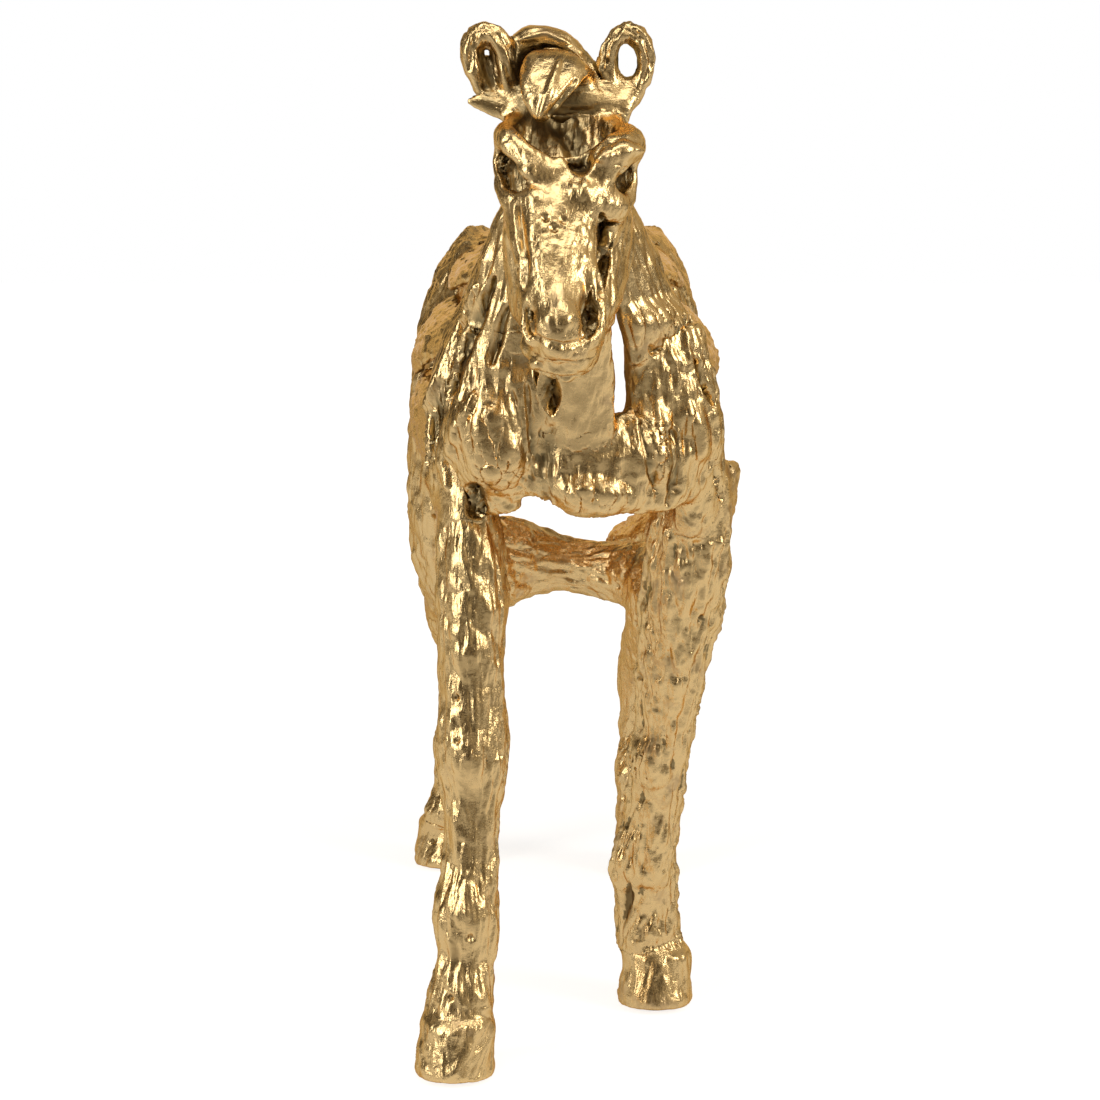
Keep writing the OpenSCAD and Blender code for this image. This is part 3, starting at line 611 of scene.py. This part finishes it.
NOSE = ("skull", "lower_jaw", "left_cheek", "right_cheek")
BREAST = ("chest", "throat_strap", "right_shoulder", "left_shoulder", "right_foreleg", "left_foreleg")
NECK = ("chest", "neck_right_strap", "neck_left_strap", "right_neck_side", "left_neck_side", "right_shoulder",
        "left_shoulder", "throat_strap")
MARKS = (
    # Ridges and channel of the nose, the slots beside it and the mouth
    Mark(NOSE, 2.5, 8, ((-18, 485), (-15, 471), (-14, 452), (-13, 433), (-16, 424))),
    Mark(NOSE, 1.2, 7.5, ((12, 476), (13, 457), (14, 438), (15, 423))),
    Mark(NOSE, -1, 9, ((-2, 479), (-1, 457), (-1, 434))),
    Mark(NOSE, -7, 3.5, ((19, 464), (20, 450), (20, 438), (18, 424))),
    Mark(NOSE, -3, 3, ((-23, 469), (-21, 454), (-19, 442), (-20, 428))),
    Mark(NOSE, -6, 4.2, ((11, 418), (14, 412), (12, 407))),
    Mark(NOSE, -4.5, 2.6, ((-18, 421), (-19, 413), (-17, 406))),
    Mark(NOSE, -1.5, 2.2, ((-19, 409), (-9, 405), (0, 403), (10, 405), (18, 410))),
    # Knobs of the chin and the crease under them
    Mark(NOSE, 2.5, 7.5, ((-7, 399), (-4, 398))),
    Mark(NOSE, 2.5, 8, ((5, 396), (7, 395))),
    Mark(NOSE, 2, 6, ((-15, 394), (-12, 392))),
    Mark(NOSE, -2, 3, ((-16, 388), (-4, 385), (9, 386))),
    # Eyes, the brow over the left one, and the hollow between the brows
    Mark(NOSE, -2.5, 6, ((-31, 492), (-29, 484))),
    Mark(NOSE, -2.5, 5, ((31, 486), (31, 478))),
    Mark(NOSE, 3, 6, ((18, 491), (28, 496), (38, 495))),
    Mark(NOSE, -6, 8, ((-2, 508), (3, 502), (8, 490))),
    # Hollows of the curled ears, ridge and groove of the forelock, edge of the crest
    Mark(("right_ear",), -1.5, 3, ((-48, 535), (-47, 543), (-44, 556), (-36, 556), (-27, 545), (-25, 537))),
    Mark(("left_ear",), -1.5, 3, ((20, 535), (22, 548), (30, 557), (42, 550), (45, 539), (41, 529))),
    Mark(("forelock",), 2, 3.5, ((-2, 539), (-6, 527), (-12, 511))),
    Mark(("forelock",), -2.5, 3, ((6, 530), (-1, 519), (-7, 512))),
    Mark(("crest_lock",), 1.5, 3, ((-22, 550), (-9, 553), (3, 548))),
    # Long grooves beside the neck, with the lip of the deep one
    Mark(NECK, -5, 6, ((-36, 428), (-44, 409), (-57, 378), (-70, 349), (-77, 325), (-80, 305))),
    Mark(NECK, 2.4, 3, ((-45, 424), (-53, 405), (-65, 378), (-77, 349), (-83, 325), (-84, 300))),
    Mark(NECK, -3.5, 4, ((-29, 414), (-34, 396), (-38, 383))),
    Mark(NECK, -3, 2.2, ((45, 392), (48, 388), (51, 390))),
    Mark(NECK, -6, 2.6, ((71, 384), (75, 371), (81, 358))),
    # Slope from the neck to the left shoulder
    Mark(("neck_left_strap", "left_neck_side"), 5, 16, ((44, 403), (60, 404), (76, 400))),
    # Breast muscles, the edges under them, and the holes beside the leg and in the throat
    Mark(BREAST, 6, 22, ((-42, 352), (-36, 330))),
    Mark(BREAST, 5, 15, ((48, 350), (52, 330))),
    Mark(BREAST, -2, 11, ((-6, 345), (-9, 330), (-10, 318))),
    Mark(BREAST, 4, 13, ((8, 312), (22, 310))),
    Mark(BREAST, 2.5, 5, ((-46, 368), (-55, 354), (-64, 327), (-62, 314))),
    Mark(BREAST, -7, 7, ((-47, 314), (-46, 304))),
    Mark(BREAST, -8, 6.8, ((-8, 381), (-7, 370), (-6, 359))),
    Mark(BREAST, -2, 3.5, ((-27, 370), (-22, 349), (-18, 332))),
    Mark(BREAST, -2, 3, ((-19, 373), (-17, 354), (-16, 335))),
    Mark(BREAST, 4, 9, ((68, 354), (72, 345), (73, 335))),
    Mark(BREAST, 2, 8, ((1, 317), (12, 319), (25, 317), (36, 311))),
    Mark(BREAST, -3, 4, ((41, 352), (46, 334), (49, 315))),
    Mark(BREAST, -3, 4, ((58, 347), (60, 325), (56, 306))),
    # Spur behind the elbow, and the knees
    Mark(BREAST, -3, 2.5, ((83, 327), (84, 316), (87, 304))),
    Mark(BREAST, 3, 15, ((-51, 174), (-50, 168))),
    Mark(BREAST, 3, 15, ((44, 150), (44, 144))),
)


# A mark of this half width or more is a smooth swelling or dip, and not a tapered stroke
BROAD = 7
# How much the relief frays a stroke, the part of its width left at its ends, and the depth at which a sunk
# mark gets its full painted shade
FRAY = 0.3
END_WIDTH = 0.35
FULL_SHADE_DEPTH = 6
# Marks reach full height where a face turns this steeply to the front
FRONT_GAIN = 3


def from_line(x, z, points):
    """How far places lie from a broken line as seen from the front, and how far along it, from 0 to 1."""
    apart = np.full(len(x), np.inf)
    along = np.zeros(len(x))
    for i, ((x0, z0), (x1, z1)) in enumerate(zip(points, points[1:])):
        dx, dz = x1 - x0, z1 - z0
        part = np.clip(((x - x0) * dx + (z - z0) * dz) / (dx * dx + dz * dz), 0, 1)
        reach = np.hypot(x - x0 - part * dx, z - z0 - part * dz)
        along = np.where(reach < apart, (i + part) / (len(points) - 1), along)
        apart = np.minimum(apart, reach)
    return apart, along


def values_of(items, field, width=1):
    """One number, or a row of them, for each item of a mesh."""
    values = np.empty(len(items) * width, np.float32)
    items.foreach_get(field, values)
    return values.reshape(-1, width) if width > 1 else values


def press_marks(mesh, name):
    """Presses the marks of a casting into the front of its skin, and paints shade into the deep ones."""
    marks = [mark for mark in MARKS if name in mark.castings]
    if not marks:
        return
    at = values_of(mesh.vertices, "co", 3) / MM
    normals = values_of(mesh.vertices, "normal", 3)
    hollow = values_of(mesh.attributes["hollow"].data, "value")
    ragged = 1 + FRAY * np.clip(values_of(mesh.attributes["relief"].data, "value"), -1, 1)
    x, z = at[:, 0], at[:, 2]
    front = np.clip(-normals[:, 1] * FRONT_GAIN, 0, 1)
    for mark in marks:
        apart, along = from_line(x, z, mark.points)
        tapered = 1
        if mark.half_width < BROAD:
            tapered = ragged * (END_WIDTH + (1 - END_WIDTH) * np.sin(np.pi * along) ** 0.5)
        pressed = np.clip(1 - (apart / (mark.half_width * tapered)) ** 2, 0, 1) ** 2 * front
        at += normals * (mark.height * pressed)[:, None]
        # A sunk mark adds painted shade through the hollow measure, fuller the deeper it is
        if mark.height < 0:
            hollow = hollow + pressed * min(1, -mark.height / FULL_SHADE_DEPTH)
    mesh.vertices.foreach_set("co", (at * MM).ravel())
    mesh.attributes["hollow"].data.foreach_set("value", np.clip(hollow, 0, 1))
    mesh.update()


class Work(NamedTuple):
    """How strongly a casting shows each kind of work, and which way its grain runs if not along it."""
    name: str
    strokes: float
    dents: float
    crumbs: float
    lumps: float
    dull: float = 0.0
    grain: tuple = ()


# Height of the lumps at a joint over that of other lumps, and how crumbs spread with their strength
JOINT_LUMPS = 0.7
CRUMB_START = 0.6
CRUMB_SPREAD = 0.3


def worked_castings(works):
    """Makes the skin of each casting and sets it in the casting's place."""
    scene = bpy.context.scene
    settings = scene.horse_casting
    tree = bpy.data.node_groups.get("worked_casting") or casting_tree(bpy.data.materials[GILDING])
    statue = helper("whole_statue", GOLD_NODES)
    for work in works:
        plain = helper(work.name + "_plain", [work.name])
        touching = helper("touching", neighbours(work.name, settings.lap))
        skin = made_by(tree, plain, {
            "Neighbours": touching,
            "Fused": bpy.data.objects[FUSED_FORM],
            "Statue": statue,
            "Grain": Vector(work.grain) if work.grain else long_way(plain.data),
            "Grid": settings.grid,
            "Lap": settings.lap,
            "Lump height": settings.lump_height * work.lumps,
            "Lump size": settings.lump_size,
            "Joint lumps": settings.lump_height * JOINT_LUMPS,
            "Pillow height": settings.pillow_height * work.lumps,
            "Pillow size": settings.pillow_size,
            "Stroke height": settings.stroke_height * work.strokes,
            "Stroke width": settings.stroke_width,
            "Stroke stretch": settings.stroke_stretch,
            "Dent depth": settings.dent_depth * work.dents,
            "Dent size": settings.dent_size,
            "Crumb height": settings.crumb_height * min(work.crumbs, 1),
            "Crumb size": settings.crumb_size,
            "Crumb cover": (work.crumbs - CRUMB_START) * CRUMB_SPREAD,
            "Pit depth": settings.pit_depth,
            "Pit spacing": settings.pit_spacing,
            "Split depth": settings.split_depth * work.strokes,
            "Split spacing": settings.split_spacing,
            "Dull": work.dull})
        discard(touching)
        press_marks(skin, work.name)
        piece = bpy.data.objects.new(work.name + "_casting", skin)
        scene.collection.objects.link(piece)
        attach(piece, BODY)
        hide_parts(work.name)
    discard(statue)


class HORSE_OT_head(bpy.types.Operator):
    """Works the skull, the jaw and the cheeks"""
    bl_idname = "horse.head"
    bl_label = "Head"

    def execute(self, context):
        worked_castings([
            Work("skull", strokes=0.7, dents=0.25, crumbs=0.7, lumps=0.5),
            Work("lower_jaw", strokes=0.5, dents=0.8, crumbs=1.4, lumps=1.2),
            Work("right_cheek", strokes=0.7, dents=0.3, crumbs=0.4, lumps=0.6),
            Work("left_cheek", strokes=0.7, dents=0.3, crumbs=0.4, lumps=0.6)])
        return {"FINISHED"}


class HORSE_OT_topknot(bpy.types.Operator):
    """Works the ears, the poll and the locks between the ears"""
    bl_idname = "horse.topknot"
    bl_label = "Ears and forelock"

    def execute(self, context):
        worked_castings([
            Work("right_ear", strokes=1.0, dents=1.0, crumbs=0.8, lumps=0.8, dull=0.1),
            Work("left_ear", strokes=1.0, dents=1.0, crumbs=0.8, lumps=0.8, dull=0.1),
            Work("poll", strokes=0.5, dents=0.5, crumbs=1.0, lumps=0.6, dull=0.2),
            Work("forelock", strokes=0.5, dents=0.0, crumbs=0.0, lumps=0.4, dull=0.1),
            Work("crest_lock", strokes=0.6, dents=0.4, crumbs=0.2, lumps=0.4),
            Work("mane_flake", strokes=0.4, dents=0.3, crumbs=0.3, lumps=0.2)])
        return {"FINISHED"}


class HORSE_OT_neck(bpy.types.Operator):
    """Works the neck strips and the mane"""
    bl_idname = "horse.neck"
    bl_label = "Neck"

    def execute(self, context):
        names = ("neck_crest", "mane_locks", "neck_right_strap", "neck_left_strap", "right_neck_side",
                 "left_neck_side", "throat_strap")
        worked_castings([Work(name, strokes=1.0, dents=0.6, crumbs=0.5, lumps=0.7, dull=0.1)
                         for name in names])
        return {"FINISHED"}


class HORSE_OT_forehand(bpy.types.Operator):
    """Works the chest and the shoulders"""
    bl_idname = "horse.forehand"
    bl_label = "Chest and shoulders"

    def execute(self, context):
        worked_castings([
            Work("chest", strokes=1.3, dents=0.8, crumbs=0.8, lumps=0.9, grain=(0, 0, 1)),
            Work("right_shoulder", strokes=1.0, dents=0.7, crumbs=0.6, lumps=0.8, dull=0.1),
            Work("left_shoulder", strokes=0.8, dents=0.7, crumbs=1.0, lumps=0.8, dull=0.3)])
        return {"FINISHED"}


class HORSE_OT_barrel(bpy.types.Operator):
    """Works the back and the rib strips"""
    bl_idname = "horse.barrel"
    bl_label = "Back and ribs"

    def execute(self, context):
        names = ["back_strap"]
        for side in ("right", "left"):
            names += [side + part for part in ("_back_rib", "_upper_rib", "_lower_rib", "_flank_strap")]
        worked_castings([Work(name, strokes=1.0, dents=0.8, crumbs=0.4, lumps=0.9, dull=0.2)
                         for name in names])
        return {"FINISHED"}


class HORSE_OT_quarters(bpy.types.Operator):
    """Works the croup, the haunches, the bar between the thighs and the tail"""
    bl_idname = "horse.quarters"
    bl_label = "Hindquarters"

    def execute(self, context):
        names = ("croup", "right_haunch", "left_haunch", "hind_yoke", "tail")
        worked_castings([Work(name, strokes=1.0, dents=0.8, crumbs=0.3, lumps=1.0, dull=0.2)
                         for name in names])
        return {"FINISHED"}


class HORSE_OT_legs(bpy.types.Operator):
    """Works the four legs"""
    bl_idname = "horse.legs"
    bl_label = "Legs"

    def execute(self, context):
        worked_castings([
            Work("right_foreleg", strokes=1.2, dents=0.7, crumbs=0.5, lumps=0.8),
            Work("left_foreleg", strokes=2.2, dents=1.0, crumbs=1.0, lumps=1.4, dull=0.2),
            Work("right_hindleg", strokes=1.0, dents=0.7, crumbs=0.5, lumps=0.9, dull=0.1),
            Work("left_hindleg", strokes=1.0, dents=0.7, crumbs=0.5, lumps=0.9, dull=0.1)])
        return {"FINISHED"}


class HORSE_OT_hooves(bpy.types.Operator):
    """Works the four hooves"""
    bl_idname = "horse.hooves"
    bl_label = "Hooves"

    def execute(self, context):
        names = ("right_fore_hoof", "left_fore_hoof", "right_hind_hoof", "left_hind_hoof")
        worked_castings([Work(name, strokes=0.8, dents=0.6, crumbs=0.5, lumps=0.6, dull=0.1)
                         for name in names])
        return {"FINISHED"}


def steel():
    """Bright drawn steel for the rods, dowels and pins."""
    material = bpy.data.materials.new("drawn_steel")
    material.use_nodes = True
    material.node_tree.nodes.clear()
    graph = Graph(material.node_tree)
    at = graph.node("ShaderNodeTexCoord", {}, {}, "Object")
    lines = graph.noise(at * (1.0, 1.0, 0.05), 0.6 * MM, 2.0)
    stain = graph.noise(at, 9 * MM, 3.0).ease(-0.1, 0.6)
    colour = graph.mix(stain * 0.4, (0.55, 0.55, 0.54), (0.30, 0.28, 0.25))
    bump = graph.node("ShaderNodeBump", {}, {"Strength": 0.2, "Distance": 0.1 * MM, "Height": lines})
    shader = graph.node("ShaderNodeBsdfPrincipled", {}, {
        "Base Color": colour, "Metallic": 1.0, "Roughness": 0.32 + stain * 0.15 + lines * 0.05,
        "Normal": bump})
    graph.node("ShaderNodeOutputMaterial", {}, {"Surface": shader})
    return material


class HORSE_OT_armature(bpy.types.Operator):
    """Finishes the steel rods, dowels and pins"""
    bl_idname = "horse.armature"
    bl_label = "Armature"

    def execute(self, context):
        material = steel()
        for name in STEEL_NODES:
            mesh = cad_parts[name].data
            mesh.materials.clear()
            mesh.materials.append(material)
        return {"FINISHED"}


def felt():
    """Dark pressed felt."""
    material = bpy.data.materials.new("pressed_felt")
    material.use_nodes = True
    material.node_tree.nodes.clear()
    graph = Graph(material.node_tree)
    at = graph.node("ShaderNodeTexCoord", {}, {}, "Object")
    fibres = graph.noise(at, 0.5 * MM, 4.0, 0.7, 2.0)
    clumps = graph.noise(at, 3 * MM, 3.0)
    colour = graph.mix((fibres + clumps).ease(-0.5, 0.5), (0.05, 0.045, 0.04), (0.13, 0.12, 0.11))
    bump = graph.node("ShaderNodeBump", {}, {"Strength": 0.6, "Distance": 0.3 * MM, "Height": fibres})
    shader = graph.node("ShaderNodeBsdfPrincipled", {}, {
        "Base Color": colour, "Roughness": 0.95, "Sheen Weight": 0.3, "Normal": bump})
    graph.node("ShaderNodeOutputMaterial", {}, {"Surface": shader})
    return material


class HORSE_OT_pads(bpy.types.Operator):
    """Makes the felt pads under the hooves, with rounded rims"""
    bl_idname = "horse.pads"
    bl_label = "Felt pads"

    def execute(self, context):
        mesh = piece_mesh([PAD_NODE])
        pads = bpy.data.objects.new("felt_pads", mesh)
        context.scene.collection.objects.link(pads)
        rim = pads.modifiers.new("rim", "BEVEL")
        rim.width = PAD_RIM
        rim.segments = 3
        rim.limit_method = "ANGLE"
        depsgraph = context.evaluated_depsgraph_get()
        pads.data = bpy.data.meshes.new_from_object(pads.evaluated_get(depsgraph))
        pads.modifiers.clear()
        bpy.data.meshes.remove(mesh)
        pads.data.materials.clear()
        pads.data.materials.append(felt())
        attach(pads, BODY)
        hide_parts(PAD_NODE)
        return {"FINISHED"}


CAMERA_AT = (-6.8 * MM, -1698.1 * MM, 527.9 * MM)
CAMERA_DIP = math.radians(9.207)
SENSOR_WIDTH = 36
FLOOR_REACH = 6.0
# The white paper fades out in front of the statue, over this length, and is in half shade
PAPER_EDGE = -0.6
PAPER_FADE = 0.4
PAPER_SHADE = 0.45
# Breadth of the pale screens, as a part of their distance
SCREEN_SIZE = 0.45
# What the lamps point at
AIM = (0, -0.05, 0.3)


def seen_white(graph, paper):
    """1 where the white paper is seen: everywhere by the camera, and where it hangs by metal and glass."""
    path = graph.tree.nodes.new("ShaderNodeLightPath")
    camera, glossy, clear = (Flow(graph, path.outputs["Is %s Ray" % kind])
                             for kind in ("Camera", "Glossy", "Transmission"))
    return camera.least(glossy.least(clear) * paper)


def floor_paint():
    """White paper: bright to the eye, with a soft shadow."""
    material = bpy.data.materials.new("white_paper")
    material.use_nodes = True
    material.node_tree.nodes.clear()
    graph = Graph(material.node_tree)
    at = graph.node("ShaderNodeTexCoord", {}, {}, "Object")
    depth = graph.node("ShaderNodeSeparateXYZ", {}, {0: at}, 1)
    distance = at.length()
    paper = graph.node("ShaderNodeBsdfDiffuse", {}, {"Color": (0.55, 0.55, 0.55)})
    glow = graph.mix(distance.ease(0.3, 1.8), (0.8, 0.8, 0.8), (1, 1, 1))
    shine = graph.node("ShaderNodeEmission", {}, {"Color": glow, "Strength": 1.0})
    lit = graph.node("ShaderNodeAddShader", {}, {0: paper, 1: shine})
    white = seen_white(graph, depth.ease(PAPER_EDGE, PAPER_EDGE + PAPER_FADE) * PAPER_SHADE)
    both = graph.node("ShaderNodeMixShader", {}, {0: white, 1: paper, 2: lit})
    graph.node("ShaderNodeOutputMaterial", {}, {"Surface": both})
    return material


def soft_lamp(name, place, size, power):
    """A soft box that points at the statue."""
    lamp = bpy.data.lights.new(name, "AREA")
    lamp.shape = "RECTANGLE"
    lamp.size, lamp.size_y = size
    lamp.energy = power
    holder = bpy.data.objects.new(name, lamp)
    holder.location = place
    holder.rotation_euler = (Vector(AIM) - Vector(place)).to_track_quat("-Z", "Y").to_euler()
    bpy.context.scene.collection.objects.link(holder)


class HORSE_OT_studio(bpy.types.Operator):
    """Sets the floor, the lamps, the white surround and the camera"""
    bl_idname = "horse.studio"
    bl_label = "Studio"

    def execute(self, context):
        scene = context.scene
        settings = scene.horse_studio
        scene.view_settings.view_transform = "Standard"

        mesh = bpy.data.meshes.new("paper_floor")
        reach = FLOOR_REACH
        mesh.from_pydata([(-reach, -reach, 0), (reach, -reach, 0), (reach, reach, 0), (-reach, reach, 0)], [],
                         [(0, 1, 2, 3)])
        mesh.materials.append(floor_paint())
        floor = bpy.data.objects.new("paper_floor", mesh)
        scene.collection.objects.link(floor)

        world = bpy.data.worlds.new("white_studio")
        world.use_nodes = True
        world.node_tree.nodes.clear()
        graph = Graph(world.node_tree)
        way = graph.node("ShaderNodeTexCoord", {}, {}, "Generated")
        across, depth, up = (graph.node("ShaderNodeSeparateXYZ", {}, {0: way}, axis)
                             for axis in range(3))
        white = seen_white(graph, depth.ease(0.70, 0.95))
        wall = across.ease(0.2, 0.6) * up.ease(-0.05, 0.25)
        screen = graph.noise(way, SCREEN_SIZE, 1.0).ease(0.0, 0.3).least(wall)
        room = graph.mix(screen, settings.room, settings.screens)
        colour = graph.mix(white, room, (1, 1, 1))
        sky = graph.node("ShaderNodeBackground", {}, {"Color": colour, "Strength": 1.0})
        graph.node("ShaderNodeOutputWorld", {}, {"Surface": sky})
        scene.world = world

        soft_lamp("key_lamp", (-1.25, -0.95, 0.95), (0.6, 1.3), settings.key_power)
        soft_lamp("fill_lamp", (1.3, -0.75, 0.95), (0.5, 0.7), settings.fill_power)
        soft_lamp("top_lamp", (0.1, -0.5, 1.75), (1.2, 0.7), settings.top_power)

        lens = bpy.data.cameras.new("front_camera")
        lens.lens = settings.lens
        lens.sensor_width = SENSOR_WIDTH
        lens.clip_end = 100
        camera = bpy.data.objects.new("front_camera", lens)
        camera.location = CAMERA_AT
        camera.rotation_euler = (math.pi / 2 - CAMERA_DIP, 0, 0)
        scene.collection.objects.link(camera)
        scene.camera = camera
        return {"FINISHED"}


OPERATORS = (HORSE_OT_form, HORSE_OT_head, HORSE_OT_topknot, HORSE_OT_neck, HORSE_OT_forehand,
             HORSE_OT_barrel, HORSE_OT_quarters, HORSE_OT_legs, HORSE_OT_hooves, HORSE_OT_armature,
             HORSE_OT_pads, HORSE_OT_studio)
SETTINGS = {"horse_casting": CastingSettings, "horse_gold": GoldSettings, "horse_studio": StudioSettings}


class HORSE_PT_panel(bpy.types.Panel):
    """The statue's pieces and their settings"""
    bl_idname = "HORSE_PT_panel"
    bl_label = "Gilded horse"
    bl_space_type = "VIEW_3D"
    bl_region_type = "UI"
    bl_category = "Horse"

    def draw(self, context):
        for operator in OPERATORS:
            self.layout.operator(operator.bl_idname)
        for name, group in SETTINGS.items():
            box = self.layout.box()
            for setting in group.__annotations__:
                box.prop(getattr(context.scene, name), setting)


def register():
    for group in (*SETTINGS.values(), *OPERATORS, HORSE_PT_panel):
        bpy.utils.register_class(group)
    for name, group in SETTINGS.items():
        setattr(bpy.types.Scene, name, PointerProperty(type=group))


def unregister():
    for name in SETTINGS:
        delattr(bpy.types.Scene, name)
    for group in (HORSE_PT_panel, *OPERATORS, *SETTINGS.values()):
        bpy.utils.unregister_class(group)


def main():
    register()
    for operator in OPERATORS:
        area, name = operator.bl_idname.split(".")
        getattr(getattr(bpy.ops, area), name)()
    discard(bpy.data.objects[FUSED_FORM])


if __name__ == "__main__":
    main()
